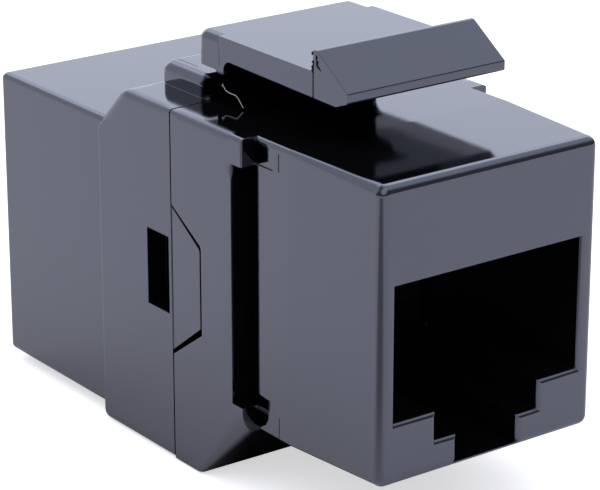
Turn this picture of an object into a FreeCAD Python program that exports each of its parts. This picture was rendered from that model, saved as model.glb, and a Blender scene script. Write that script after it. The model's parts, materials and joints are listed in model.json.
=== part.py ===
import FreeCAD, Part
import math
import os
from FreeCAD import Vector

# In-line keystone coupler: two moulded housings snapped together, a port at each end,
# a contact carrier behind each port, a circuit board between them and a sprung latch arm
# on top. Millimetres. +Z is up and the front port faces -Y. The origin is at the middle
# of the length and of the width, at the lowest point of the underside.

# ---------------------------------------------------------------- overall sizes
LENGTH = 34.8              # front port face to rear port face
BODY_WIDTH = 16.4          # middle section, behind the panel
BODY_HEIGHT = 20.15        # middle section, crown of the underside to the top
CROWN = 0.12               # how far the middle of the underside bulges below its sides
SEAM_DEPTH = 16.72         # front face to the rear housing's edge at the seam
SEAM_GAP = 0.12            # visible gap between the housings at the seam
EDGE_ROUND = 0.28          # rounding of the long outer edges

# ---------------------------------------------------------------- nose that passes the panel
NOSE_WIDTH = 14.2          # at the front face
NOSE_HEIGHT = 16.08        # at the front face
NOSE_BOTTOM = 4.0          # front face's lower edge above the underside
NOSE_TIP_LENGTH = 0.7      # straight tip of the nose, with the rounding of its face
NOSE_TAPER_DEPTH = 7.4     # from there to this depth the nose widens, then it runs straight
NOSE_FLARE = 0.2           # widening of each side over that depth
NOSE_RISE = 0.07           # rise of its top over that depth
NOSE_DROP = 0.15           # drop of its underside over that depth
NOSE_CORNER = 0.55         # corners of its front face
NOSE_FRONT_ROUND = 0.5     # rounding all round that face

# ---------------------------------------------------------------- shoulder and panel groove
SHOULDER_DEPTH = 10.22     # front face to the shoulder pads that meet the panel
GROOVE_DEPTH = 10.0        # front face to the side groove's front wall
GROOVE_WIDTH = 1.15        # side groove behind the nose, front to back
GROOVE_FLOOR = 6.75        # groove floor from the middle plane
GROOVE_BOTTOM = 5.25       # groove's lower end above the underside
GROOVE_TOP = 18.62         # groove's upper end above the underside
NOTCH_REACH = 0.87         # how far the notches at the groove's ends reach into the nose
NOTCH_RELIEF = 0.05        # how far they run behind the shoulder pads, so the panel seats flat
# Notch outlines: part of that reach, then height over the groove's upper or lower end.
UPPER_NOTCH = [(0, 0.12), (1, 0.5), (1, 0.95), (0.85, 1.17), (0, 1.3)]
MIDDLE_NOTCH = [(0, 0.72), (1, 0.62), (1, 0.04), (0, 0.04)]
LOWER_NOTCH = [(0, -0.18), (1, -0.22), (0.95, -0.5), (0.7, -0.85), (0, -1.15)]
SHOULDER_ROUND = 0.1       # upright front edges of the shoulder pads
CHAMFER_START = 3.78       # height at which the shoulder's lower chamfer starts
CHAMFER_RUN = 4.05         # how far back it reaches the lowest point's level
CHAMFER_ROUND_TOP = 0.9    # soft edge between that chamfer and the sides, at its upper end
CHAMFER_ROUND_LOW = 0.25   # and at its lower end
LINE_CUT = 0.06            # width and depth of the fine parting lines
LINE_LENGTH = 1.05         # of the upper upright line, from the line across
ACROSS_LENGTH = 1.3        # of the line that runs forward from the groove
LINE_SETBACK = 1.84        # of the upright lines, forward of the groove

# ---------------------------------------------------------------- rear section
REAR_BODY_LENGTH = 7.2     # seam to the end of the middle section
TOP_CHAMFER = 2.65         # chamfer at the middle section's upper rear edge
TOP_CHAMFER_ROUND = 0.6    # rounding of both its edges
LOWER_REAR_ROUND = 0.5     # rounding of its lower rear edge
REAR_STEP = 0.4            # the rear block is this much narrower on each side
REAR_TOP = 17.86           # rear block's top above the underside
REAR_BOTTOM = 0.65         # rear block's underside above the lowest point
REAR_ROUND = 0.35          # rounding of the rear block's edges

# ---------------------------------------------------------------- pad on the rear housing
PAD_WIDTH = 11.4
PAD_LENGTH = 4.4
PAD_HEIGHT = 1.25
PAD_SETBACK = 0.17         # seam to the pad's front face
PAD_ROUND = 0.6            # of its upper edges
PAD_CORNER = 0.65          # of its upright corners
PAD_LINE_INSET = 0.8       # fine lines on the pad's top, in from its sides
PAD_LINE_LENGTH = 2.5

# ---------------------------------------------------------------- port for the plug
PORT_WIDTH = 12.15
PORT_HEIGHT = 7.37
KEY_WIDTH = 6.8            # first step below the port
KEY_HEIGHT = 1.6
SLOT_WIDTH = 4.0           # slot for the plug's tab
SLOT_HEIGHT = 1.55
PORT_FLOOR = 4.27          # slot floor above the underside
PORT_ROUND = 0.3           # rounding of the mouth's sides and shelves
PORT_EDGE = 0.1            # rounding of its upper edge
PORT_DEPTH = 12.4

# ---------------------------------------------------------------- hollow behind the ports
CHAMBER_TOP = 17.2
FRONT_CHAMBER_WIDTH = 13.0
FRONT_CHAMBER_BOTTOM = 3.2
REAR_CHAMBER_WIDTH = 14.0
REAR_CHAMBER_BOTTOM = 1.6
CORE_WIDTH = 11.6          # cored-out space that keeps the walls even
CORE_HEIGHT = 1.2
CORE_WALL = 1.05           # wall between that space and the outside
LIP_DEPTH = 1.5            # housing in front of the contact carrier

# ---------------------------------------------------------------- side tongues and snaps
TONGUE_REACH = 2.6         # forward from the seam
TONGUE_TOP = 14.75         # where its upper flank meets the seam
TONGUE_BOTTOM = 6.52       # where its lower flank meets the seam
TONGUE_TIP_TOP = 13.0
TONGUE_TIP_BOTTOM = 8.5
TONGUE_THICKNESS = 1.2
TONGUE_ROUND = 0.35
TONGUE_GAP = 0.22          # clearance round the tongue
TONGUE_LOWER_GAP = 0.3     # wider clearance under its lower flank
TONGUE_SINK = 0.05         # tongue's face below the housing's side
TONGUE_ROOT = 0.1          # how far the tongue's root runs into its own housing
WINDOW_SETBACK = 0.22      # bar between the seam and the window
WINDOW_LENGTH = 2.1
WINDOW_BOTTOM = 8.53
WINDOW_HEIGHT = 4.4
SNAP_GAP = 0.15            # clearance round the snap arms
SNAP_THICKNESS = 0.9
BARB_REACH = 0.25

# ---------------------------------------------------------------- carriers, board, contacts
FIT = 0.1                  # clearance of the inner pieces in the housings
CARRIER_INSET = 0.4        # carrier's ends, in from the port's sides
CARRIER_HEIGHT = 2.08      # of the bar above the port
CARRIER_WALL = 2.0         # wall behind the port
WIRE_DEPTH = 0.9           # carrier's top to the middle of the wires
CONTACT_COUNT = 8
CONTACT_PITCH = 1.016
CONTACT_WIDTH = 0.35
CONTACT_BEND = 0.4         # bend radius on the wire's middle line
CONTACT_DROP = 2.6         # fall of the sprung leg from its bend to its tip
CONTACT_SETBACK = 2.6      # front face to the contact's bend
GROOVE_CLEARANCE = 0.1     # of a contact in the carrier's groove
BOARD_THICKNESS = 1.6
BOARD_CLEARANCE = 0.15     # of the board's edges in the front chamber
BOARD_NOTCH = 0.75         # side notches that clear the snap arms
RIB_THICKNESS = 0.8        # ribs in the rear housing that back the board
RIB_OVERLAP = 0.4          # how far they reach behind the board
RIB_ROOT = 0.2             # how far they run into the walls
TAIL_REACH = 0.5           # contact tails stand out of the board by this much
TAIL_DROP = 1.5            # the front contacts meet the board this much lower

# ---------------------------------------------------------------- latch arm
ARM_WIDTH = 10.3
ARM_TOP = 23.7             # flat top of the arm above the underside
ARM_THICKNESS = 1.3
ARM_OVERHANG = 1.78        # behind the seam
HEEL_LENGTH = 2.08         # of the rounded block at its rear end
HEEL_TOP_ROUND = 0.5       # of that block's upper edges
HEEL_CORNER = 0.6          # of its upright corners
ARM_EDGE = 0.12            # of the catch's and the lip's edges
UNDERSIDE_FALL = 0.12      # the underside lies this much lower behind the tip
UNDERSIDE_RISE = 0.05      # and this much higher at the web
HEEL_DROP = 0.6            # the arm's heel is this much deeper than the arm
HEEL_ROUND = 0.3           # of its lower rear edge
WEB_THICKNESS = 0.55       # thin bending web under the heel
WEB_FRONT_ROUND = 0.6      # hollow corner between the web and the arm
WEB_REAR_ROUND = 0.3       # hollow corner between the web and the heel
PIVOT_HEIGHT = 21.35       # where the web bends
PIVOT_GAP = 0.04
FOOT_REACH = 2.2           # how far the web's foot runs forward on the top
FOOT_SHELF = 1.1           # web to the edge of the foot's level shelf
FOOT_HEIGHT = 0.63         # height of that shelf
CATCH_DEPTH = 8.15         # front face to the catch's steep rear face
CATCH_HEIGHT = 1.15        # above the arm
CATCH_RIDGE = 0.3
TIP_DEPTH = 5.3            # front face to the catch's front lip
LIP_DROP = 0.53            # arm's flat top to the lip's upper edge
LIP_HEIGHT = 0.52          # height of the lip's front face
TIP_RISE_LENGTH = 0.95     # length of the rising underside behind the lip

HALF_WIDTH = BODY_WIDTH / 2
EPS = 0.001


def y_at(depth):
    """Position of a plane this far behind the front port face."""
    return depth - LENGTH / 2


SEAM_Y = y_at(SEAM_DEPTH)
SHOULDER_Y = y_at(SHOULDER_DEPTH)
GROOVE_Y = y_at(GROOVE_DEPTH)
WINDOW_Y = SEAM_Y + WINDOW_SETBACK
BODY_REAR_Y = SEAM_Y + REAR_BODY_LENGTH
NOSE_TOP = NOSE_BOTTOM + NOSE_HEIGHT
KEY_FLOOR = PORT_FLOOR + SLOT_HEIGHT
PORT_BASE = KEY_FLOOR + KEY_HEIGHT
PORT_CEILING = PORT_BASE + PORT_HEIGHT
CARRIER_BOTTOM = PORT_CEILING + FIT
CARRIER_TOP = CARRIER_BOTTOM + CARRIER_HEIGHT
CARRIER_WIDTH = PORT_WIDTH - 2 * CARRIER_INSET
CARRIER_BACK = PORT_DEPTH + 2 * FIT + CARRIER_WALL
WIRE_LEVEL = CARRIER_TOP - WIRE_DEPTH
SNAP_OUTER = REAR_CHAMBER_WIDTH / 2 - SNAP_GAP


# ---------------------------------------------------------------- shape helpers
def box(x_low, x_high, y_low, y_high, z_low, z_high):
    corner = Vector(x_low, y_low, z_low)
    return Part.makeBox(x_high - x_low, y_high - y_low, z_high - z_low, corner)


def side_prism(outline, x_low, x_high):
    """Solid with an outline of (y, z) points, from x_low to x_high."""
    points = [Vector(x_low, y, z) for y, z in outline]
    face = Part.Face(Part.makePolygon(points + points[:1]))
    return face.extrude(Vector(x_high - x_low, 0, 0))


def both_sides(solid):
    """The solid and its mirror image on the other side of the middle plane."""
    return solid.fuse(solid.mirror(Vector(0, 0, 0), Vector(1, 0, 0)))


def turned_round(solid):
    """The solid as it stands at the other end of the coupler."""
    turned = solid.copy()
    turned.rotate(Vector(0, 0, 0), Vector(0, 0, 1), 180)
    return turned


def edges_where(solid, test):
    """Edges whose two end points and middle all pass the test."""
    chosen = []
    for edge in solid.Edges:
        middle = edge.valueAt((edge.FirstParameter + edge.LastParameter) / 2)
        ends = [vertex.Point for vertex in edge.Vertexes]
        if all(test(point) for point in ends + [middle]):
            chosen.append(edge)
    return chosen


def near(value, target):
    return abs(value - target) < 0.01


def rounded_section(y, half_width, bottom, top, radius):
    """Rounded rectangle across the coupler at y, as a wire."""
    k = radius * (1 - math.sqrt(0.5))
    right, left = half_width, -half_width
    edges = []
    corners = [
        ((right - radius, bottom), (right - k, bottom + k), (right, bottom + radius)),
        ((right, top - radius), (right - k, top - k), (right - radius, top)),
        ((left + radius, top), (left + k, top - k), (left, top - radius)),
        ((left, bottom + radius), (left + k, bottom + k), (left + radius, bottom)),
    ]
    for index, corner in enumerate(corners):
        start, middle, end = [Vector(x, y, z) for x, z in corner]
        following = corners[(index + 1) % 4][0]
        edges.append(Part.Arc(start, middle, end).toShape())
        edges.append(Part.makeLine(end, Vector(following[0], y, following[1])))
    return Part.Wire(edges)


def crowned_section(y):
    """Outline of the middle section at y, with its slightly bulging underside."""
    left_low = Vector(-HALF_WIDTH, y, CROWN)
    right_low = Vector(HALF_WIDTH, y, CROWN)
    left_top = Vector(-HALF_WIDTH, y, BODY_HEIGHT)
    right_top = Vector(HALF_WIDTH, y, BODY_HEIGHT)
    underside = Part.Arc(left_low, Vector(0, y, 0), right_low).toShape()
    sides = [Part.makeLine(right_low, right_top), Part.makeLine(right_top, left_top)]
    return Part.Wire([underside] + sides + [Part.makeLine(left_top, left_low)])


def crowned_block(y_low, y_high):
    return Part.Face(crowned_section(y_low)).extrude(Vector(0, y_high - y_low, 0))


def bent_path(points, radius):
    """Path of straight runs joined by arcs, through (y, z) points at x = 0."""
    corners = [Vector(0, y, z) for y, z in points]
    edges = []
    start = corners[0]
    for before, corner, after in zip(corners, corners[1:], corners[2:]):
        incoming = (before - corner).normalize()
        outgoing = (after - corner).normalize()
        half_angle = incoming.getAngle(outgoing) / 2
        reach = radius / math.tan(half_angle)
        bisector = (incoming + outgoing).normalize()
        centre = corner + bisector * (radius / math.sin(half_angle))
        arc_start = corner + incoming * reach
        arc_end = corner + outgoing * reach
        arc_middle = centre - bisector * radius
        edges.append(Part.makeLine(start, arc_start))
        edges.append(Part.Arc(arc_start, arc_middle, arc_end).toShape())
        start = arc_end
    edges.append(Part.makeLine(start, corners[-1]))
    return Part.Wire(edges)


# ---------------------------------------------------------------- port and inner spaces
def port_section(y):
    """Stepped outline of the port at y, as a face."""
    outline = [
        (SLOT_WIDTH / 2, PORT_FLOOR),
        (SLOT_WIDTH / 2, KEY_FLOOR),
        (KEY_WIDTH / 2, KEY_FLOOR),
        (KEY_WIDTH / 2, PORT_BASE),
        (PORT_WIDTH / 2, PORT_BASE),
        (PORT_WIDTH / 2, PORT_CEILING),
    ]
    mirrored = [(-x, z) for x, z in reversed(outline)]
    points = [Vector(x, y, z) for x, z in outline + mirrored]
    return Part.Face(Part.makePolygon(points + points[:1]))


def port_space():
    """Everything cut out of the housing from the front: port and carrier channel."""
    port = port_section(y_at(0) - 1).extrude(Vector(0, PORT_DEPTH + EPS + 1, 0))
    half = CARRIER_WIDTH / 2 + FIT
    channel = box(-half, half, y_at(LIP_DEPTH), y_at(PORT_DEPTH + EPS),
                  PORT_CEILING - EPS, CARRIER_TOP + FIT)
    return port.fuse(channel)


def round_mouth(body, face_y):
    """Round the edges of the port's mouth in the face at face_y, apart from the slot's floor."""
    def on_mouth(point):
        inside = abs(point.x) < PORT_WIDTH / 2 + EPS and point.z < PORT_CEILING + EPS
        return near(point.y, face_y) and inside and point.z > PORT_FLOOR - EPS

    def on_ceiling(point):
        return on_mouth(point) and near(point.z, PORT_CEILING)

    def on_floor(point):
        return near(point.z, PORT_FLOOR)

    ceiling = edges_where(body, on_ceiling)
    floor = edges_where(body, on_floor)
    wide = [edge for edge in edges_where(body, on_mouth)
            if not any(edge.isSame(other) for other in ceiling + floor)]
    body = body.makeFillet(PORT_ROUND, wide)
    return body.makeFillet(PORT_EDGE, edges_where(body, on_ceiling))


def front_spaces():
    """Chamber behind the front port, and the cored-out space above it."""
    half = FRONT_CHAMBER_WIDTH / 2
    chamber = box(-half, half, y_at(PORT_DEPTH), SEAM_Y, FRONT_CHAMBER_BOTTOM, CHAMBER_TOP)
    core_top = NOSE_TOP - CORE_WALL
    core = box(-CORE_WIDTH / 2, CORE_WIDTH / 2, y_at(LIP_DEPTH), SEAM_Y,
               core_top - CORE_HEIGHT, core_top)
    return chamber.fuse(core)


def rear_spaces():
    """Chamber behind the rear port, and the cored-out space under it."""
    half = REAR_CHAMBER_WIDTH / 2
    rear_wall_y = -y_at(PORT_DEPTH)
    chamber = box(-half, half, SEAM_Y, rear_wall_y, REAR_CHAMBER_BOTTOM, CHAMBER_TOP)
    core_bottom = REAR_BOTTOM + CORE_WALL
    core = box(-CORE_WIDTH / 2, CORE_WIDTH / 2, rear_wall_y - EPS, -y_at(LIP_DEPTH),
               core_bottom, core_bottom + CORE_HEIGHT)
    return chamber.fuse(core)


# ---------------------------------------------------------------- tongue between the housings
def tongue_outline(grow, lower_grow):
    """Trapezium of the side tongue in (y, z), grown by the clearances."""
    tip_y = SEAM_Y - TONGUE_REACH - grow
    return [
        (SEAM_Y + EPS, TONGUE_TOP + grow),
        (tip_y, TONGUE_TIP_TOP + grow),
        (tip_y, TONGUE_TIP_BOTTOM - lower_grow),
        (SEAM_Y + EPS, TONGUE_BOTTOM - lower_grow),
    ]


def round_tongue_tip(solid, grow):
    """Round the tongue's upper front corner."""
    tip_y = SEAM_Y - TONGUE_REACH - grow
    tip_edges = edges_where(solid, lambda p: near(p.y, tip_y) and near(p.z, TONGUE_TIP_TOP + grow))
    return solid.makeFillet(TONGUE_ROUND, tip_edges)


def tongue():
    """Tongue at one side, its face a little below the side."""
    inner = HALF_WIDTH - TONGUE_THICKNESS
    blade = round_tongue_tip(side_prism(tongue_outline(0, 0), inner, HALF_WIDTH - TONGUE_SINK), 0)
    root = box(inner, HALF_WIDTH, SEAM_Y - EPS, SEAM_Y + TONGUE_ROOT, TONGUE_BOTTOM, TONGUE_TOP)
    return blade.fuse(root)


def tongue_pocket():
    inner = HALF_WIDTH - TONGUE_THICKNESS - TONGUE_SINK
    outline = tongue_outline(TONGUE_GAP, TONGUE_LOWER_GAP)
    return round_tongue_tip(side_prism(outline, inner, HALF_WIDTH + 1), TONGUE_GAP)


def snap_arm():
    """Arm that reaches back inside the rear housing, with a barb in its window."""
    low = WINDOW_BOTTOM + SNAP_GAP
    high = WINDOW_BOTTOM + WINDOW_HEIGHT - SNAP_GAP
    window_rear = WINDOW_Y + WINDOW_LENGTH
    arm = box(SNAP_OUTER - SNAP_THICKNESS, SNAP_OUTER, y_at(PORT_DEPTH), window_rear + SNAP_GAP, low, high)
    barb_front = WINDOW_Y + SNAP_GAP
    barb_rear = window_rear - SNAP_GAP
    points = [Vector(SNAP_OUTER - EPS, barb_front, low),
              Vector(SNAP_OUTER + BARB_REACH, barb_front, low),
              Vector(SNAP_OUTER + BARB_REACH, barb_rear - BARB_REACH, low),
              Vector(SNAP_OUTER - EPS, barb_rear, low)]
    barb = Part.Face(Part.makePolygon(points + points[:1])).extrude(Vector(0, 0, high - low))
    return arm.fuse(barb)


# ---------------------------------------------------------------- front housing
def nose():
    """Slightly flared block round the front port, rounded at its front edges."""
    half = NOSE_WIDTH / 2
    wide = half + NOSE_FLARE
    low = NOSE_BOTTOM - NOSE_DROP
    high = NOSE_TOP + NOSE_RISE
    face_y = y_at(0)
    straight_y = y_at(NOSE_TAPER_DEPTH)
    taper_y = y_at(NOSE_TIP_LENGTH)
    face_section = rounded_section(face_y, half, NOSE_BOTTOM, NOSE_TOP, NOSE_CORNER)
    tip = Part.Face(face_section).extrude(Vector(0, NOSE_TIP_LENGTH, 0))
    tip = tip.makeFillet(NOSE_FRONT_ROUND, edges_where(tip, lambda p: near(p.y, face_y)))
    tip_section = rounded_section(taper_y, half, NOSE_BOTTOM, NOSE_TOP, NOSE_CORNER)
    straight_section = rounded_section(straight_y, wide, low, high, EDGE_ROUND)
    flared = Part.makeLoft([tip_section, straight_section], True, True)
    length = SHOULDER_DEPTH + EPS - NOSE_TAPER_DEPTH
    straight = Part.Face(straight_section).extrude(Vector(0, length, 0))
    return flared.fuse([tip, straight])


def shoulder():
    """Front half of the middle section, with its chamfered lower front."""
    block = crowned_block(SHOULDER_Y, SEAM_Y - SEAM_GAP)
    slope = CHAMFER_RUN / CHAMFER_START
    cutter = side_prism([(SHOULDER_Y - slope, CHAMFER_START + 1), (SHOULDER_Y + CHAMFER_RUN + slope, -1),
                         (SHOULDER_Y - slope, -1)], -HALF_WIDTH - 1, HALF_WIDTH + 1)
    block = block.cut(cutter)

    def on_side(point, side):
        return near(point.x, side * HALF_WIDTH)

    def on_chamfer(point):
        return near(point.y - SHOULDER_Y, (CHAMFER_START - point.z) * slope)

    for side in (-1, 1):
        edge = edges_where(block, lambda p: on_side(p, side) and on_chamfer(p))[0]
        radii = [CHAMFER_ROUND_LOW, CHAMFER_ROUND_TOP]
        if edge.Vertexes[0].Point.z > edge.Vertexes[-1].Point.z:
            radii.reverse()
        block = block.makeFillet(*radii, [edge])
    for side in (-1, 1):
        top_edges = edges_where(block, lambda p: on_side(p, side) and near(p.z, BODY_HEIGHT))
        block = block.makeFillet(EDGE_ROUND, top_edges)
    return block


def notch(points, level):
    """Recess in the nose's side from points given as (part of the reach, height over the level)."""
    back_y = SHOULDER_Y + NOTCH_RELIEF
    outline = [(GROOVE_Y - part * NOTCH_REACH, level + height) for part, height in points]
    outline = [(back_y, outline[0][1])] + outline + [(back_y, outline[-1][1])]
    return side_prism(outline, GROOVE_FLOOR, NOSE_WIDTH / 2 + NOSE_FLARE + EPS)


def side_groove():
    """Groove at one side that the panel's edge lies in, with notches at both ends."""
    groove = box(GROOVE_FLOOR, HALF_WIDTH + 1, GROOVE_Y, GROOVE_Y + GROOVE_WIDTH,
                 GROOVE_BOTTOM, GROOVE_TOP)
    notches = [notch(UPPER_NOTCH, GROOVE_TOP), notch(MIDDLE_NOTCH, GROOVE_BOTTOM),
               notch(LOWER_NOTCH, GROOVE_BOTTOM)]
    return groove.fuse(notches)


def pad_corner():
    """What the rounding takes off the shoulder pad's upright front edge at one side."""
    centre = Vector(HALF_WIDTH - SHOULDER_ROUND, SHOULDER_Y + SHOULDER_ROUND, GROOVE_TOP - 1)
    block = box(centre.x, HALF_WIDTH + 1, SHOULDER_Y - 1, centre.y, GROOVE_TOP - EPS, BODY_HEIGHT + 1)
    return block.cut(Part.makeCylinder(SHOULDER_ROUND, BODY_HEIGHT, centre))


def parting_lines():
    """Fine lines left by the mould's inserts on one side of the nose."""
    line_y = GROOVE_Y - LINE_SETBACK
    x_low = NOSE_WIDTH / 2 + NOSE_FLARE - LINE_CUT
    low_z = GROOVE_TOP + LINE_CUT
    upper = box(x_low, HALF_WIDTH, line_y, line_y + LINE_CUT, low_z + LINE_CUT, low_z + LINE_LENGTH)
    lower = box(x_low, HALF_WIDTH, line_y, line_y + LINE_CUT, NOSE_BOTTOM - 1, GROOVE_BOTTOM - LINE_CUT)
    across = box(x_low, HALF_WIDTH, GROOVE_Y - ACROSS_LENGTH, GROOVE_Y - LINE_CUT, low_z, low_z + LINE_CUT)
    return upper.fuse([lower, across])


def web_middle_y():
    """Middle plane of the bending web, flush with the front housing's edge at the seam."""
    return SEAM_Y - SEAM_GAP - WEB_THICKNESS / 2


def latch_foot():
    """Foot of the bending web on the front housing, with a level shelf and a hollow under the pivot."""
    middle = web_middle_y()
    rear = middle + WEB_THICKNESS / 2
    front = middle - WEB_THICKNESS / 2
    base = BODY_HEIGHT - CORE_WALL / 2
    half = ARM_WIDTH / 2
    shelf_z = BODY_HEIGHT + FOOT_HEIGHT
    shelf_y = front - FOOT_SHELF
    toe = front - FOOT_REACH

    def at(y, z):
        return Vector(-half, y, z)

    flare = Part.BezierCurve()
    flare.setPoles([at(front, PIVOT_HEIGHT), at(front, shelf_z), at(front - FOOT_SHELF / 4, shelf_z),
                    at(shelf_y, shelf_z)])
    toe_curve = Part.BezierCurve()
    toe_curve.setPoles([at(shelf_y, shelf_z), at((2 * shelf_y + toe) / 3, shelf_z),
                        at((shelf_y + toe) / 2, BODY_HEIGHT), at(toe, BODY_HEIGHT)])
    edges = [
        Part.makeLine(at(rear, base), at(rear, PIVOT_HEIGHT)),
        Part.makeLine(at(rear, PIVOT_HEIGHT), at(front, PIVOT_HEIGHT)),
        flare.toShape(),
        toe_curve.toShape(),
        Part.makeLine(at(toe, BODY_HEIGHT), at(toe, base)),
        Part.makeLine(at(toe, base), at(rear, base)),
    ]
    foot = Part.Face(Part.Wire(edges)).extrude(Vector(ARM_WIDTH, 0, 0))
    hollow = Part.makeCylinder(WEB_THICKNESS / 2 + PIVOT_GAP, ARM_WIDTH,
                               at(middle, PIVOT_HEIGHT), Vector(1, 0, 0))
    return foot.cut(hollow)


def front_housing():
    body = nose().fuse(shoulder()).removeSplitter()
    side_cuts = [side_groove(), pad_corner(), tongue_pocket(), parting_lines()]
    cuts = [both_sides(cut) for cut in side_cuts] + [port_space(), front_spaces()]
    body = round_mouth(body.cut(cuts), y_at(0))
    return body.fuse([both_sides(snap_arm()), latch_foot()]).removeSplitter()


# ---------------------------------------------------------------- rear housing
def on_top_chamfer(edge):
    """Whether an edge across the middle section is one of the upper chamfer's two edges."""
    point = edge.Vertexes[0].Point
    return near(point.y - BODY_REAR_Y + TOP_CHAMFER, BODY_HEIGHT - point.z)


def rear_middle():
    """Rear half of the middle section, chamfered above and rounded below."""
    block = crowned_block(SEAM_Y, BODY_REAR_Y)
    slope = [(BODY_REAR_Y - TOP_CHAMFER, BODY_HEIGHT), (BODY_REAR_Y + 1, BODY_HEIGHT - TOP_CHAMFER - 1),
             (BODY_REAR_Y + 1, BODY_HEIGHT + 1), (BODY_REAR_Y - TOP_CHAMFER, BODY_HEIGHT + 1)]
    block = block.cut(side_prism(slope, -HALF_WIDTH - 1, HALF_WIDTH + 1))
    across = [edge for edge in block.Edges if near(edge.Length, BODY_WIDTH)]
    block = block.makeFillet(TOP_CHAMFER_ROUND, [edge for edge in across if on_top_chamfer(edge)])
    low_edge = edges_where(block, lambda p: near(p.y, BODY_REAR_Y) and p.z < CROWN + 0.01)
    block = block.makeFillet(LOWER_REAR_ROUND, low_edge)

    def along_side(point):
        on_side = near(abs(point.x), HALF_WIDTH)
        return on_side and point.z > CROWN + LOWER_REAR_ROUND - 0.01

    outer = [edge for edge in edges_where(block, along_side)
             if not all(near(vertex.Point.y, SEAM_Y) for vertex in edge.Vertexes)]
    return block.makeFillet(EDGE_ROUND, outer)


def rear_block():
    half = HALF_WIDTH - REAR_STEP
    block = box(-half, half, BODY_REAR_Y - 1, y_at(LENGTH), REAR_BOTTOM, REAR_TOP)
    rounded = edges_where(block, lambda p: p.y > BODY_REAR_Y)
    rounded += [edge for edge in block.Edges if near(edge.Length, block.BoundBox.YLength)]
    return block.makeFillet(REAR_ROUND, rounded)


def pad():
    """Raised pad behind the latch, with two fine lines on its top."""
    front_y = SEAM_Y + PAD_SETBACK
    top = BODY_HEIGHT + PAD_HEIGHT
    half = PAD_WIDTH / 2
    base = BODY_HEIGHT - CORE_WALL / 2
    block = box(-half, half, front_y, front_y + PAD_LENGTH, base, top)
    upright = [edge for edge in block.Edges if near(edge.Length, block.BoundBox.ZLength)]
    block = block.makeFillet(PAD_CORNER, upright)
    block = block.makeFillet(PAD_ROUND, edges_where(block, lambda p: near(p.z, top)))
    line_x = half - PAD_LINE_INSET
    rear_y = front_y + PAD_LENGTH
    line = box(line_x - LINE_CUT, line_x, rear_y - PAD_LINE_LENGTH, rear_y + 1, top - LINE_CUT, top + 1)
    return block.cut(both_sides(line))


def window():
    return box(REAR_CHAMBER_WIDTH / 2 - 1, HALF_WIDTH + 1, WINDOW_Y, WINDOW_Y + WINDOW_LENGTH,
               WINDOW_BOTTOM, WINDOW_BOTTOM + WINDOW_HEIGHT)


def board_rib():
    """Rib behind the circuit board at one side of the rear chamber."""
    back_y = BOARD_THICKNESS / 2 + FIT
    low = REAR_CHAMBER_BOTTOM - RIB_ROOT
    high = WINDOW_BOTTOM - RIB_THICKNESS / 2
    inner = FRONT_CHAMBER_WIDTH / 2 - BOARD_CLEARANCE - RIB_OVERLAP
    outer = REAR_CHAMBER_WIDTH / 2 + RIB_ROOT
    return box(inner, outer, back_y, back_y + RIB_THICKNESS, low, high)


def rear_housing():
    body = rear_middle().fuse([rear_block(), pad(), both_sides(tongue())]).removeSplitter()
    body = body.cut([turned_round(port_space()), rear_spaces(), both_sides(window())])
    body = round_mouth(body, y_at(LENGTH))
    return body.fuse(both_sides(board_rib())).removeSplitter()


# ---------------------------------------------------------------- inner pieces at the front end
def contact_positions():
    return [(index - (CONTACT_COUNT - 1) / 2) * CONTACT_PITCH for index in range(CONTACT_COUNT)]


def contact_carrier():
    """Bar above the port and comb wall behind it, with a groove for each contact."""
    half = CARRIER_WIDTH / 2
    bar = box(-half, half, y_at(LIP_DEPTH + FIT), y_at(CARRIER_BACK), CARRIER_BOTTOM, CARRIER_TOP)
    wall = box(-half, half, y_at(CARRIER_BACK - CARRIER_WALL), y_at(CARRIER_BACK),
               PORT_FLOOR + FIT, CARRIER_TOP)
    carrier = bar.fuse(wall)
    slot = CONTACT_WIDTH / 2 + GROOVE_CLEARANCE
    slot_top = WIRE_LEVEL + slot
    slot_low = WIRE_LEVEL - 2 * CONTACT_BEND - CONTACT_DROP - 4 * FIT
    wall_middle = y_at(CARRIER_BACK - CARRIER_WALL / 2)
    cuts = []
    for x in contact_positions():
        cuts.append(box(x - slot, x + slot, y_at(LIP_DEPTH + 4 * FIT), y_at(CARRIER_BACK + 1),
                        CARRIER_BOTTOM - 1, slot_top))
        cuts.append(box(x - slot, x + slot, y_at(PORT_DEPTH - 1), wall_middle, slot_low, slot_top))
    lower_back = box(-half, half, wall_middle, y_at(CARRIER_BACK + 2), slot_low, CARRIER_BOTTOM)
    return carrier.cut(cuts).fuse(lower_back.common(wall)).removeSplitter()


def contact(x, tail_drop):
    """Bent contact wire: tail in the board, run along the carrier, sprung leg into the port."""
    board_far = BOARD_THICKNESS / 2 + TAIL_REACH
    carrier_back = y_at(CARRIER_BACK)
    bend_y = y_at(CONTACT_SETBACK)
    leg_top = WIRE_LEVEL - 2 * CONTACT_BEND - FIT
    tip = (y_at(PORT_DEPTH + CARRIER_WALL / 3), leg_top - CONTACT_DROP)
    points = [(board_far, WIRE_LEVEL - tail_drop)]
    if tail_drop:
        jog_end = -BOARD_THICKNESS / 2 - TAIL_REACH - 2 * FIT
        points += [(jog_end, WIRE_LEVEL - tail_drop), (carrier_back + FIT, WIRE_LEVEL)]
    points += [(bend_y, WIRE_LEVEL), (bend_y, leg_top), tip]
    path = bent_path(points, CONTACT_BEND)
    half = CONTACT_WIDTH / 2
    start = points[0]
    corners = [Vector(-half, start[0], start[1] - half), Vector(half, start[0], start[1] - half),
               Vector(half, start[0], start[1] + half), Vector(-half, start[0], start[1] + half)]
    section = Part.makePolygon(corners + corners[:1])
    wire = path.makePipeShell([section], True, False)
    wire.translate(Vector(x, 0, 0))
    return wire


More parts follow.
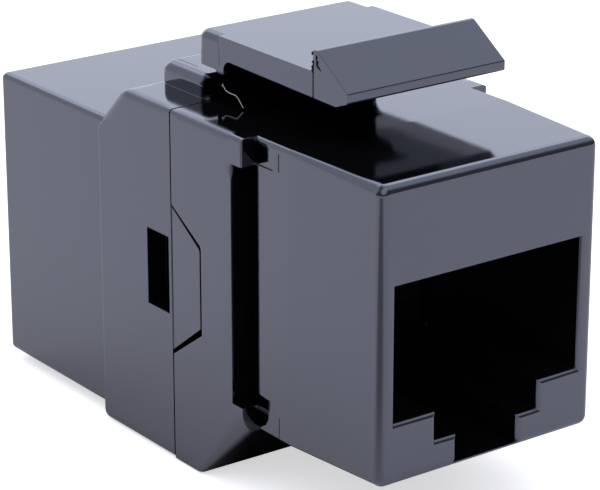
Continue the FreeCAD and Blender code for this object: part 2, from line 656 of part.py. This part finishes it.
def circuit_board():
    """Upright board between the carriers, with a row of holes for each set of contacts."""
    half = FRONT_CHAMBER_WIDTH / 2 - BOARD_CLEARANCE
    thick = BOARD_THICKNESS / 2
    board = box(-half, half, -thick, thick, FRONT_CHAMBER_BOTTOM + 2 * FIT, CHAMBER_TOP - 2 * FIT)
    notch = box(half - BOARD_NOTCH, half + 1, -thick - 1, thick + 1,
                WINDOW_BOTTOM - SNAP_GAP, WINDOW_BOTTOM + WINDOW_HEIGHT + SNAP_GAP)
    cuts = [both_sides(notch)]
    hole = CONTACT_WIDTH / 2 + FIT / 2
    for x in contact_positions():
        for level in (WIRE_LEVEL, WIRE_LEVEL - TAIL_DROP):
            cuts.append(box(x - hole, x + hole, -thick - 1, thick + 1, level - hole, level + hole))
    return board.cut(cuts)


# ---------------------------------------------------------------- latch arm
def heel_block(arm, front_y):
    """Rear end of the arm behind front_y, with rounded upper edges and upright corners."""
    bounds = arm.BoundBox
    plan = box(bounds.XMin, bounds.XMax, front_y, bounds.YMax, bounds.ZMin, bounds.ZMax)
    rear_corners = [edge for edge in edges_where(plan, lambda p: near(p.y, bounds.YMax))
                    if near(edge.Length, bounds.ZLength)]
    block = arm.common(plan.makeFillet(HEEL_CORNER, rear_corners))
    upper = [edge for edge in edges_where(block, lambda p: near(p.z, ARM_TOP))
             if max(vertex.Y for vertex in edge.Vertexes) > front_y + EPS]
    return block.makeFillet(HEEL_TOP_ROUND, upper)


def latch_arm():
    """Arm with its catch, and the upper part of the bending web that carries it."""
    middle = web_middle_y()
    web_rear = middle + WEB_THICKNESS / 2
    web_front = middle - WEB_THICKNESS / 2
    heel_y = SEAM_Y + ARM_OVERHANG
    line_y = heel_y - HEEL_LENGTH
    underside = ARM_TOP - ARM_THICKNESS
    heel_z = underside - HEEL_DROP
    tip_y = y_at(TIP_DEPTH)
    lip_top = ARM_TOP - LIP_DROP
    lip_bottom = lip_top - LIP_HEIGHT
    catch_y = y_at(CATCH_DEPTH)
    catch_z = ARM_TOP + CATCH_HEIGHT
    web_top = underside + UNDERSIDE_RISE
    ridge_y = catch_y - CATCH_RIDGE
    outline = [
        (web_rear, PIVOT_HEIGHT), (web_rear, heel_z), (heel_y, heel_z), (heel_y, ARM_TOP),
        (catch_y, ARM_TOP), (catch_y, catch_z), (ridge_y, catch_z), (tip_y, lip_top),
        (tip_y, lip_bottom), (tip_y + TIP_RISE_LENGTH, underside - UNDERSIDE_FALL),
        (web_front, web_top), (web_front, PIVOT_HEIGHT),
    ]
    half = ARM_WIDTH / 2
    arm = side_prism(outline, -half, half)

    def corner(y, z):
        return edges_where(arm, lambda p: near(p.y, y) and near(p.z, z))

    arm = arm.makeFillet(WEB_FRONT_ROUND, corner(web_front, web_top))
    arm = arm.makeFillet(WEB_REAR_ROUND, corner(web_rear, heel_z))
    arm = arm.makeFillet(HEEL_ROUND, corner(heel_y, heel_z))
    arm = arm.makeFillet(ARM_EDGE, corner(catch_y, ARM_TOP) + corner(tip_y, lip_top)
                         + corner(tip_y, lip_bottom) + corner(catch_y, catch_z) + corner(ridge_y, catch_z))
    heel = heel_block(arm, line_y)
    front = arm.cut(box(-half, half, line_y, heel_y + 1, PIVOT_HEIGHT - 1, catch_z + 1))
    root = Part.makeCylinder(WEB_THICKNESS / 2, ARM_WIDTH, Vector(-half, middle, PIVOT_HEIGHT),
                             Vector(1, 0, 0))
    catch_line = box(half - LINE_CUT, half + 1, catch_y - LINE_CUT, catch_y + LINE_CUT, heel_z, ARM_TOP)
    heel_line = box(half - LINE_CUT / 2, half + 1, line_y - LINE_CUT / 2, line_y + LINE_CUT / 2,
                    (heel_z + underside) / 2, ARM_TOP)
    lines = [both_sides(catch_line), both_sides(heel_line)]
    return front.fuse([heel, root]).cut(lines).removeSplitter()


# ---------------------------------------------------------------- all pieces
def all_pieces():
    carrier = contact_carrier()
    pieces = {
        "front_housing": front_housing(),
        "rear_housing": rear_housing(),
        "latch_arm": latch_arm(),
        "front_contact_carrier": carrier,
        "rear_contact_carrier": turned_round(carrier),
        "circuit_board": circuit_board(),
    }
    for number, x in enumerate(contact_positions(), start=1):
        pieces["front_contact_%d" % number] = contact(x, TAIL_DROP)
        pieces["rear_contact_%d" % number] = turned_round(contact(x, 0))
    return pieces


os.makedirs("parts", exist_ok=True)
for name, shape in all_pieces().items():
    solids = shape.Solids
    print(name, "solids", len(solids), "valid", shape.isValid(), "volume", round(shape.Volume, 3))
    if len(solids) == 1:
        shape = solids[0]
    shape.exportStep("parts/" + name + ".step")
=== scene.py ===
# Studio view of the in-line keystone coupler: materials, small surface details, light and camera.
# The script works in metres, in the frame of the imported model. Constants of shapes and places are
# in millimetres unless they say something else, and the code multiplies them by MM.
import json
import math
from functools import reduce

import bmesh
import bpy
from mathutils import Matrix, Vector


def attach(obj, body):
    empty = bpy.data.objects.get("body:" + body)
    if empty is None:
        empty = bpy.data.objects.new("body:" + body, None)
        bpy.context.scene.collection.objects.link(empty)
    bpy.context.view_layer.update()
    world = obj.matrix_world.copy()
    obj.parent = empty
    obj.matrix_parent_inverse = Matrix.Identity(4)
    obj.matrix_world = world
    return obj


MM = 0.001
WHITE = (1, 1, 1)

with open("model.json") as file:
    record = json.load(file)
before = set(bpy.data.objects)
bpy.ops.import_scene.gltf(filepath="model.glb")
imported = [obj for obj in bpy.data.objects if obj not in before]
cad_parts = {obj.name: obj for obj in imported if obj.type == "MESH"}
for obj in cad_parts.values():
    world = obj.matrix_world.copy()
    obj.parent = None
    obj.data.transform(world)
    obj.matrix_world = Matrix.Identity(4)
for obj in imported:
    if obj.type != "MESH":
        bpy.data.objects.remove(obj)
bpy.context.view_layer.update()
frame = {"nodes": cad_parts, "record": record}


# ---------------------------------------------------------------- camera
CAMERA_AZIMUTH = -36.613             # degrees round +Z; 0 looks along +Y
CAMERA_ELEVATION = 19.775
CAMERA_AIM = (-5.4555, -8.486, 14.851)
CAMERA_DISTANCE = 142.1
CAMERA_LENS, CAMERA_SENSOR = 164.97, 36     # in the millimetres that Blender takes
CAMERA_SHIFT = (0.00145, -0.01875)   # shares of the sensor's width
CAMERA_RANGE = (5, 20000)            # nearest and farthest distance that it sees


def view_axes(azimuth, elevation):
    """Right, up and back directions of a level camera."""
    a, e = math.radians(azimuth), math.radians(elevation)
    back = Vector((math.sin(a) * math.cos(e), -math.cos(a) * math.cos(e), math.sin(e)))
    right = Vector((math.cos(a), math.sin(a), 0))
    return right, back.cross(right), back


def add_camera():
    """Long lens that looks down at the object's front and left side."""
    data = bpy.data.cameras.new("camera")
    data.lens = CAMERA_LENS
    data.sensor_width = CAMERA_SENSOR
    data.shift_x, data.shift_y = CAMERA_SHIFT
    data.clip_start, data.clip_end = (distance * MM for distance in CAMERA_RANGE)
    camera = bpy.data.objects.new("camera", data)
    bpy.context.collection.objects.link(camera)
    right, up, back = view_axes(CAMERA_AZIMUTH, CAMERA_ELEVATION)
    place = (Vector(CAMERA_AIM) + back * CAMERA_DISTANCE) * MM
    turn = Matrix((right, up, back)).transposed().to_4x4()
    camera.matrix_world = Matrix.Translation(place) @ turn
    bpy.context.scene.camera = camera


# ---------------------------------------------------------------- node helpers
NOISE_RANGE = (0.3, 0.7)             # between which nearly all of a noise lies


def new_material(name):
    """An empty material and its node tree."""
    material = bpy.data.materials.new(name)
    material.use_nodes = True
    tree = material.node_tree
    tree.nodes.clear()
    return material, tree


def add_node(tree, kind, inputs, **settings):
    """Add a node. Its inputs go by name or number: a socket is linked, any other value is set."""
    node = tree.nodes.new(kind)
    for setting, value in settings.items():
        setattr(node, setting, value)
    for key, value in inputs.items():
        if isinstance(value, bpy.types.NodeSocket):
            tree.links.new(value, node.inputs[key])
        else:
            node.inputs[key].default_value = value
    return node


def set_surface(tree, shader):
    """End a material with the shader of its surface."""
    add_node(tree, "ShaderNodeOutputMaterial", {"Surface": shader})


def object_place(tree):
    """Where a point lies in its object's own space, in metres."""
    return tree.nodes.new("ShaderNodeTexCoord").outputs["Object"]


def stretched_place(tree, scale):
    """Where a point lies in its object's own space, each axis multiplied by its own scale."""
    node = add_node(tree, "ShaderNodeMapping", {"Vector": object_place(tree), "Scale": scale})
    return node.outputs["Vector"]


def calculate(tree, operation, *values):
    """Result of one operation on sockets or numbers."""
    node = add_node(tree, "ShaderNodeMath", dict(enumerate(values)), operation=operation)
    return node.outputs["Value"]


def combine(tree, operation, values):
    """Result of an operation on a whole list, taken one after the other."""
    return reduce(lambda total, value: calculate(tree, operation, total, value), values)


def ramp(tree, value, start, end, low=0, high=1, interpolation="SMOOTHSTEP"):
    """Take a value from low to high as it goes from start to end, and no further."""
    span = {"Value": value, "From Min": start, "From Max": end, "To Min": low, "To Max": high}
    node = add_node(tree, "ShaderNodeMapRange", span, interpolation_type=interpolation)
    return node.outputs["Result"]


def noise(tree, place, scale, detail):
    """Noise with so many cells to the metre."""
    node = add_node(tree, "ShaderNodeTexNoise",
                    {"Vector": place, "Scale": scale, "Detail": detail})
    return node.outputs["Fac"]


def spread(tree, value, low, high):
    """Take a noise from low to high."""
    return ramp(tree, value, *NOISE_RANGE, low, high, "LINEAR")


def mix_colours(tree, factor, first, second):
    """Blend of two plain colours."""
    colours = {"Factor": factor, "A": (*first, 1), "B": (*second, 1)}
    return add_node(tree, "ShaderNodeMix", colours, data_type="RGBA").outputs["Result"]


def mix_shaders(tree, factor, first, second):
    """The first shader where the factor is 0, the second where it is 1."""
    shaders = {"Fac": factor, 1: first, 2: second}
    return add_node(tree, "ShaderNodeMixShader", shaders).outputs["Shader"]


def matt_shader(tree, colour):
    """Plain matt surface."""
    return add_node(tree, "ShaderNodeBsdfDiffuse", {"Color": (*colour, 1)}).outputs["BSDF"]


# ---------------------------------------------------------------- plastics
# Looks of the plastics: the two colours of their mottling, roughness, index of refraction, level
# and tint of the gloss, and strength of the grain.
HOUSING_LOOK = {
    "dark": (0.0020, 0.0020, 0.0028), "light": (0.0036, 0.0036, 0.0048), "roughness": 0.06,
    "ior": 1.72, "specular": 1.0, "sheen": (0.80, 0.825, 1.0), "grain": 0.3,
}
CARRIER_LOOK = {
    "dark": (0.0015, 0.0015, 0.0018), "light": (0.0028, 0.0028, 0.003), "roughness": 0.45,
    "ior": 1.5, "specular": 0.4, "sheen": (1, 1, 1), "grain": 0.5,
}
# Painted highlight: the foot's edge tubes reflect far more than the plastic does, which draws a
# glint line.
GLINT_EDGE_LOOK = {
    "dark": (0.002, 0.002, 0.003), "light": (0.004, 0.004, 0.005), "roughness": 0.12,
    "ior": 3.0, "specular": 1.0, "sheen": (0.92, 0.94, 1.0), "grain": 0.1,
}
TORN_LOOK = {
    "dark": (0.001, 0.001, 0.0012), "light": (0.003, 0.003, 0.0034), "roughness": 0.6,
    "ior": 1.45, "specular": 0.3, "sheen": (1, 1, 1), "grain": 0.8,
}
HOUSING_EDGE, CARRIER_EDGE, DETAIL_EDGE = 0.05, 0.02, 0.01    # radius that edges seem to have
EDGE_SAMPLES = 8

# Cells to the metre and detail of the noises.
MOTTLING = (350, 4)
GLOSS_CLOUDS = (160, 3)
GRAIN = (9000, 3)
GLOSS_CHANGE = 0.15                  # share by which the roughness goes up and down
GRAIN_DEPTH = 0.004

# Boxes of the housings with rounder edges or with painted shade: |x|, y and z of the lowest and the
# highest corner.
LONG_EDGES = [                       # long upper edges, rounder than the rest
    ((6.6, -5.9, 18.2), (8.6, -1.6, 20.6)),
    ((6.6, 0.15, 18.2), (8.6, 17.4, 20.6)),
]
LONG_EDGE_ROUND, LONG_EDGE_FADE = 0.7, 0.6
PAINTED_SHADE_BOXES = [                          # places with painted shade: a matt, almost black colour without reflection
    ((0, -4.1, 19.4), (5.3, -0.4, 21.6)),      # round the web's foot
    ((0, -2.4, 21.3), (4.85, -0.9, 22.6)),     # front of the web
    ((0, -1.2, 20.4), (5.85, -0.2, 21.2)),     # front of the pad
    ((6.2, -0.4, 8.6), (8.05, 1.5, 12.9)),     # inside the windows
    ((6.6, -8.5, 4.1), (7.08, -6.2, 19.85)),   # notches and groove
]
# Fade and colour of the painted shade in those boxes.
PAINTED_SHADE_FADE = 0.2
PAINTED_SHADE_COLOUR = (0.0016, 0.0016, 0.002)


def zone(tree, place, low, high, fade):
    """1 in a box between two corners, on both sides of the mid-plane, fading to 0 round it."""
    axes = add_node(tree, "ShaderNodeSeparateXYZ", {"Vector": place}).outputs
    values = (calculate(tree, "ABSOLUTE", axes["X"]), axes["Y"], axes["Z"])
    shares = []
    for value, start, end in zip(values, low, high):
        offset = calculate(tree, "SUBTRACT", value, (start + end) / 2 * MM)
        distance = calculate(tree, "ABSOLUTE", offset)
        half = (end - start) / 2
        shares.append(ramp(tree, distance, (half + fade) * MM, half * MM))
    return combine(tree, "MULTIPLY", shares)


def plastic_shader(tree, place, edge, *, dark, light, roughness, ior, specular, sheen, grain):
    """Moulded plastic: faint mottling, uneven gloss, fine grain and edges that seem rounded."""
    mottling = spread(tree, noise(tree, place, *MOTTLING), 0, 1)
    gloss = spread(tree, noise(tree, place, *GLOSS_CLOUDS),
                   roughness * (1 - GLOSS_CHANGE), roughness * (1 + GLOSS_CHANGE))
    soft_edge = add_node(tree, "ShaderNodeBevel", {"Radius": edge}, samples=EDGE_SAMPLES)
    bump = add_node(tree, "ShaderNodeBump", {
        "Strength": grain,
        "Distance": GRAIN_DEPTH * MM,
        "Height": noise(tree, place, *GRAIN),
        "Normal": soft_edge.outputs["Normal"],
    })
    shader = add_node(tree, "ShaderNodeBsdfPrincipled", {
        "Base Color": mix_colours(tree, mottling, dark, light),
        "Roughness": gloss,
        "IOR": ior,
        "Specular IOR Level": specular,
        "Specular Tint": (*sheen, 1),
        "Normal": bump.outputs["Normal"],
    })
    return shader.outputs["BSDF"]


def moulded_plastic(name, edge, look):
    """Plastic with one look all over."""
    material, tree = new_material(name)
    set_surface(tree, plastic_shader(tree, object_place(tree), edge * MM, **look))
    return material


def housing_plastic():
    """Glossy black plastic, rounder at the long upper edges, with painted shade in the recesses."""
    material, tree = new_material("black_plastic")
    place = object_place(tree)
    long_edges = [zone(tree, place, *box, LONG_EDGE_FADE) for box in LONG_EDGES]
    edge = ramp(tree, combine(tree, "ADD", long_edges), 0, 1,
                HOUSING_EDGE * MM, LONG_EDGE_ROUND * MM, "LINEAR")
    glossy = plastic_shader(tree, place, edge, **HOUSING_LOOK)
    # Painted shade: in these boxes the gloss gives way to a matt, almost black colour.
    shade_masks = [zone(tree, place, *box, PAINTED_SHADE_FADE) for box in PAINTED_SHADE_BOXES]
    painted_shade = combine(tree, "MAXIMUM", shade_masks)
    set_surface(tree, mix_shaders(tree, painted_shade, glossy, matt_shader(tree, PAINTED_SHADE_COLOUR)))
    return material


# ---------------------------------------------------------------- contacts and board
GOLD_COLOURS = ((0.72, 0.48, 0.17), (0.92, 0.71, 0.34))
GOLD_ROUGHNESS = (0.18, 0.34)
STREAKS = (4000, 250, 4000)          # streaks to the metre along x, y and z
STREAK_DETAIL = 3
RESIST_COLOURS = ((0.012, 0.110, 0.045), (0.018, 0.150, 0.062))
RESIST_ROUGHNESS = 0.3
WEAVE = (2200, 1, 2200)              # threads to the metre along x, y and z


def gold_wire():
    """Gold-plated spring wire with drawn streaks along its length."""
    material, tree = new_material("gold_wire")
    streaks = noise(tree, stretched_place(tree, STREAKS), 1, STREAK_DETAIL)
    shader = add_node(tree, "ShaderNodeBsdfPrincipled", {
        "Base Color": mix_colours(tree, streaks, *GOLD_COLOURS),
        "Roughness": spread(tree, streaks, *GOLD_ROUGHNESS),
        "Metallic": 1,
    })
    set_surface(tree, shader.outputs["BSDF"])
    return material


def board_resist():
    """Green solder resist with a faint glass weave under it."""
    material, tree = new_material("board_resist")
    dark, light = RESIST_COLOURS
    weave = add_node(tree, "ShaderNodeTexChecker", {
        "Vector": stretched_place(tree, WEAVE),
        "Scale": 1,
        "Color1": (*dark, 1),
        "Color2": (*light, 1),
    })
    shader = add_node(tree, "ShaderNodeBsdfPrincipled",
                      {"Base Color": weave.outputs["Color"], "Roughness": RESIST_ROUGHNESS})
    set_surface(tree, shader.outputs["BSDF"])
    return material


def dress_nodes(housing):
    """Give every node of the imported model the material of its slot."""
    by_slot = {
        "housing": housing,
        "carrier": moulded_plastic("matt_black_plastic", CARRIER_EDGE, CARRIER_LOOK),
        "board": board_resist(),
        "contact": gold_wire(),
    }
    for part in frame["record"]["subparts"]:
        node = frame["nodes"][part["node"]]
        node.data.materials.clear()
        node.data.materials.append(by_slot[part["material_slot"]])


# ---------------------------------------------------------------- small surface details
def add_loft(shape, rings):
    """Add a closed form through rings of points, each with the same number of points."""
    rings = [[shape.verts.new(Vector(point) * MM) for point in ring] for ring in rings]
    for ring, following in zip(rings, rings[1:]):
        for k in range(len(ring)):
            after = (k + 1) % len(ring)
            shape.faces.new((ring[k], ring[after], following[after], following[k]))
    shape.faces.new(rings[0][::-1])
    shape.faces.new(rings[-1])


def outward_mesh(name, shape):
    """Mesh of a closed shape, with all its faces turned outwards."""
    bmesh.ops.recalc_face_normals(shape, faces=shape.faces)
    mesh = bpy.data.meshes.new(name)
    shape.to_mesh(mesh)
    shape.free()
    return mesh


def add_piece(name, mesh, material, body):
    """Add a detail that moves with one of the bodies."""
    piece = bpy.data.objects.new(name, mesh)
    bpy.context.collection.objects.link(piece)
    mesh.materials.append(material)
    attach(piece, body)


ARM_SIDE = 5.15                      # half the arm's and the foot's width
SHINE_Y = (-3.6, -1.1)               # where the front edge of the foot shines
SHINE_Z = (20.2, 21.17)
ON_SIDE = 0.01                       # how close to the foot's side a point counts as on it
DECIMALS = 3                         # decimals kept, so that points in one place count once
TUBE_RADIUS = 0.035
TUBE_CORNERS = 8


def foot_edge_points(side):
    """Points of the housing's own edge round the front of the web's foot, from the top down."""
    corners = set()
    for vertex in frame["nodes"]["front_housing"].data.vertices:
        x, y, z = vertex.co / MM
        if (abs(x - side * ARM_SIDE) < ON_SIDE and SHINE_Y[0] < y < SHINE_Y[1]
                and SHINE_Z[0] < z < SHINE_Z[1]):
            corners.add(tuple(round(value, DECIMALS) for value in (x, y, z)))
    return sorted(corners, key=lambda corner: (-corner[2], -corner[1]))


def tube_mesh(name, points):
    """Thin round tube through points that share one x."""
    path = [Vector(point) for point in points]
    across = Vector((1, 0, 0))
    turns = [2 * math.pi * k / TUBE_CORNERS for k in range(TUBE_CORNERS)]
    rings = []
    for i, point in enumerate(path):
        along = (path[min(i + 1, len(path) - 1)] - path[max(i - 1, 0)]).normalized()
        up = along.cross(across).normalized()
        rings.append([point + (across * math.cos(turn) + up * math.sin(turn)) * TUBE_RADIUS
                      for turn in turns])
    shape = bmesh.new()
    add_loft(shape, rings)
    mesh = outward_mesh(name, shape)
    mesh.shade_smooth()
    return mesh


def add_foot_edges():
    """Thin tubes along the real edges of the web's foot, far glossier than the plastic, so that
    they paint a highlight line in the dark recess round it.
    """
    shine = moulded_plastic("glint_edge", DETAIL_EDGE, GLINT_EDGE_LOOK)
    for side, name in ((-1, "foot_edge_left"), (1, "foot_edge_right")):
        add_piece(name, tube_mesh(name, foot_edge_points(side)), shine, "housing")


# Locating lip between the housings, above and under their inner space, behind the visible gap of
# the seam: half width, lowest and highest point of its two strips.
SEAM_LIPS = [(7.8, 17.1, 19.85), (6.6, 0.45, 3.15)]
LIP_FRONT, LIP_BACK = -0.79, -0.69
LIP_CORNER, LIP_CORNER_STEPS = 0.35, 6
LIP_EDGE, LIP_EDGE_STEPS = 0.015, 2
LENGTHWISE = 0.9                     # least share of y in the direction of an edge along y
SHARP = 1                            # angle in radians from which an edge is rounded


def round_edges(shape, edges, radius, steps):
    """Round some edges of a shape."""
    bmesh.ops.bevel(shape, geom=edges, offset=radius * MM, segments=steps, profile=0.5,
                    affect="EDGES")


def add_seam_lip(material):
    """Thin lip with rounded corners that closes the seam, so that no light passes through it."""
    shape = bmesh.new()
    for half, low, high in SEAM_LIPS:
        size = Vector((2 * half, LIP_BACK - LIP_FRONT, high - low)) * MM
        middle = Vector((0, (LIP_FRONT + LIP_BACK) / 2, (low + high) / 2)) * MM
        place = Matrix.Translation(middle) @ Matrix.Diagonal(size).to_4x4()
        strip = bmesh.ops.create_cube(shape, size=1, matrix=place)["verts"]
        corners = [edge for edge in shape.edges if edge.verts[0] in strip
                   and abs((edge.verts[1].co - edge.verts[0].co).normalized().y) > LENGTHWISE]
        round_edges(shape, corners, LIP_CORNER, LIP_CORNER_STEPS)
    rims = [edge for edge in shape.edges if edge.calc_face_angle(0) > SHARP]
    round_edges(shape, rims, LIP_EDGE, LIP_EDGE_STEPS)
    add_piece("seam_lip", outward_mesh("seam_lip", shape), material, "housing")


# Torn plastic where the catch was cut from its sprue: for each shred, its points (y, z) and half
# widths there, on the arm's left side.
GATE_SCAR = [
    [(-9.17, 24.74, 0.02), (-9.20, 24.66, 0.05), (-9.17, 24.55, 0.02)],
    [(-9.26, 24.30, 0.02), (-9.22, 24.20, 0.08), (-9.30, 24.10, 0.05), (-9.20, 23.98, 0.06),
     (-9.24, 23.84, 0.12), (-9.20, 23.74, 0.11), (-9.24, 23.60, 0.03)],
    [(-9.52, 24.62, 0.02), (-9.55, 24.50, 0.07), (-9.53, 24.38, 0.03), (-9.60, 24.26, 0.06),
     (-9.58, 24.12, 0.12), (-9.68, 24.00, 0.11), (-9.92, 23.86, 0.02)],
]
SCAR_PROUD = (0.02, 0.07, 0.03, 0.08, 0.05, 0.07, 0.02)    # how far each point stands out
SCAR_SUNK = 0.02                     # how deep a shred's two edges are in the arm
SCAR_LEAN = 0.2                      # rise of its section for each millimetre backwards
# Section of a shred: shares of the half width, of how far it stands out and of how deep it is sunk.
SCAR_SECTION = [(-1, 0, 1), (-0.3, 1, 0), (0.5, 0.7, 0), (1, 0, 1)]


def add_gate_scar():
    """Ragged, slightly raised shreds of the gate scar."""
    shape = bmesh.new()
    for shred in GATE_SCAR:
        rings = []
        for (y, z, half), proud in zip(shred, SCAR_PROUD):
            rings.append([(-ARM_SIDE - rise * proud + sink * SCAR_SUNK, y + wide * half,
                           z + wide * half * SCAR_LEAN) for wide, rise, sink in SCAR_SECTION])
        add_loft(shape, rings)
    torn = moulded_plastic("torn_plastic", DETAIL_EDGE, TORN_LOOK)
    add_piece("gate_scar", outward_mesh("gate_scar", shape), torn, "latch")


# ---------------------------------------------------------------- floor
FLOOR_RADIUS = 1500
FLOOR_CORNERS = 96
FLOOR_COLOUR = (0.88, 0.89, 0.99)
FLOOR_GLOW = 0.6                     # seen by the camera alone

# Dark cards on the floor that only the gloss sees, in front of the object and under it; they paint
# shade into the floor's reflections. Columns: name, centre and half sizes, turn in degrees round
# +Z, and how much of the floor the card covers at its middle.
GLOSS_SHADE_CARDS = [
    ("front_shade_card", (-42, -36, 0.05), (42, 30), 25, 0.62),
    ("under_shade_card", (-3.1, 2, 0.02), (6.4, 22), 0, 0.94),
]
CARD_CORNERS = 64
# Colour of the painted shade that the gloss sees on the cards.
CARD_COLOUR = (0.01, 0.01, 0.01)
CARD_FADE = 0.6                      # share of the half size over which a card fades in


def add_disc(name, corners, radius, material):
    """Flat disc that faces up."""
    bpy.ops.mesh.primitive_circle_add(vertices=corners, radius=radius, fill_type="NGON")
    disc = bpy.context.object
    disc.name = name
    disc.data.materials.append(material)
    return disc


def add_floor():
    """Plain pale floor. Its faint glow only lifts it to white behind the object."""
    material, tree = new_material("pale_floor")
    to_camera = tree.nodes.new("ShaderNodeLightPath").outputs["Is Camera Ray"]
    strength = calculate(tree, "MULTIPLY", to_camera, FLOOR_GLOW)
    glow = add_node(tree, "ShaderNodeEmission", {"Color": (*WHITE, 1), "Strength": strength})
    total = add_node(tree, "ShaderNodeAddShader",
                     {0: matt_shader(tree, FLOOR_COLOUR), 1: glow.outputs["Emission"]})
    set_surface(tree, total.outputs["Shader"])
    floor = add_disc("floor", FLOOR_CORNERS, FLOOR_RADIUS * MM, material)


def add_card(name, centre, half, turn, cover):
    """Soft-edged dark card that only glossy rays see, which paints shade into the reflections of
    the floor.
    """
    material, tree = new_material(name)
    sphere = add_node(tree, "ShaderNodeTexGradient", {"Vector": object_place(tree)},
                      gradient_type="SPHERICAL")
    amount = ramp(tree, sphere.outputs["Fac"], 0, CARD_FADE, high=cover)
    clear = tree.nodes.new("ShaderNodeBsdfTransparent").outputs["BSDF"]
    set_surface(tree, mix_shaders(tree, amount, clear, matt_shader(tree, CARD_COLOUR)))
    card = add_disc(name, CARD_CORNERS, 1, material)
    card.scale = (half[0] * MM, half[1] * MM, 1)
    card.rotation_euler = (0, 0, math.radians(turn))
    card.location = Vector(centre) * MM
    card.visible_camera = False
    card.visible_diffuse = False
    card.visible_shadow = False


# ---------------------------------------------------------------- light
# Soft panels of the room that the gloss mirrors: azimuth and elevation in degrees, the angles
# from its middle at which a panel starts and ends to fade, and its brightness.
ROOM_PANELS = [
    (143, 12, 34, 52, 1.30),
    (92, 62, 22, 48, 0.80),
    (-37, 48, 16, 44, 0.90),
    (206, 22, 26, 44, 0.66),
]
ROOM_TONE = 0.16                     # brightness of the room between the panels
ROOM_COLOUR = (0.94, 1.0, 1.13)
SKY_RISE = (0.2, 0.85)               # sines of the elevations between which the sky brightens
SKY_BRIGHTNESS = (0.05, 1.5)


def background(tree, colour, strength):
    """Light that comes from the world."""
    light = {"Color": (*colour, 1), "Strength": strength}
    return add_node(tree, "ShaderNodeBackground", light).outputs["Background"]


def panel_brightness(tree, direction, azimuth, elevation, full, edge, brightness):
    """Brightness of one soft panel of the room in the direction looked at."""
    middle = view_axes(azimuth, elevation)[2]
    nearness = add_node(tree, "ShaderNodeVectorMath", {0: direction, 1: middle},
                        operation="DOT_PRODUCT")
    return ramp(tree, nearness.outputs["Value"], math.cos(math.radians(edge)),
                math.cos(math.radians(full)), high=brightness)


def add_world():
    """White to the camera, soft panels in a dim room to the gloss, a plain sky to all else."""
    world = bpy.data.worlds.new("studio")
    bpy.context.scene.world = world
    world.use_nodes = True
    tree = world.node_tree
    tree.nodes.clear()
    direction = tree.nodes.new("ShaderNodeTexCoord").outputs["Generated"]
    height = add_node(tree, "ShaderNodeSeparateXYZ", {"Vector": direction}).outputs["Z"]
    sky = background(tree, WHITE, ramp(tree, height, *SKY_RISE, *SKY_BRIGHTNESS, "LINEAR"))
    panels = [panel_brightness(tree, direction, *panel) for panel in ROOM_PANELS]
    room = background(tree, ROOM_COLOUR, combine(tree, "ADD", [ROOM_TONE, *panels]))
    ray = tree.nodes.new("ShaderNodeLightPath").outputs
    unseen = mix_shaders(tree, ray["Is Glossy Ray"], sky, room)
    surface = mix_shaders(tree, ray["Is Camera Ray"], unseen, background(tree, WHITE, 1))
    add_node(tree, "ShaderNodeOutputWorld", {"Surface": surface})


# ---------------------------------------------------------------- build
housing_material = housing_plastic()
dress_nodes(housing_material)
add_seam_lip(housing_material)
add_foot_edges()
add_gate_scar()
add_floor()
for card in GLOSS_SHADE_CARDS:
    add_card(*card)
add_world()
add_camera()
bpy.context.scene.view_settings.view_transform = "Standard"
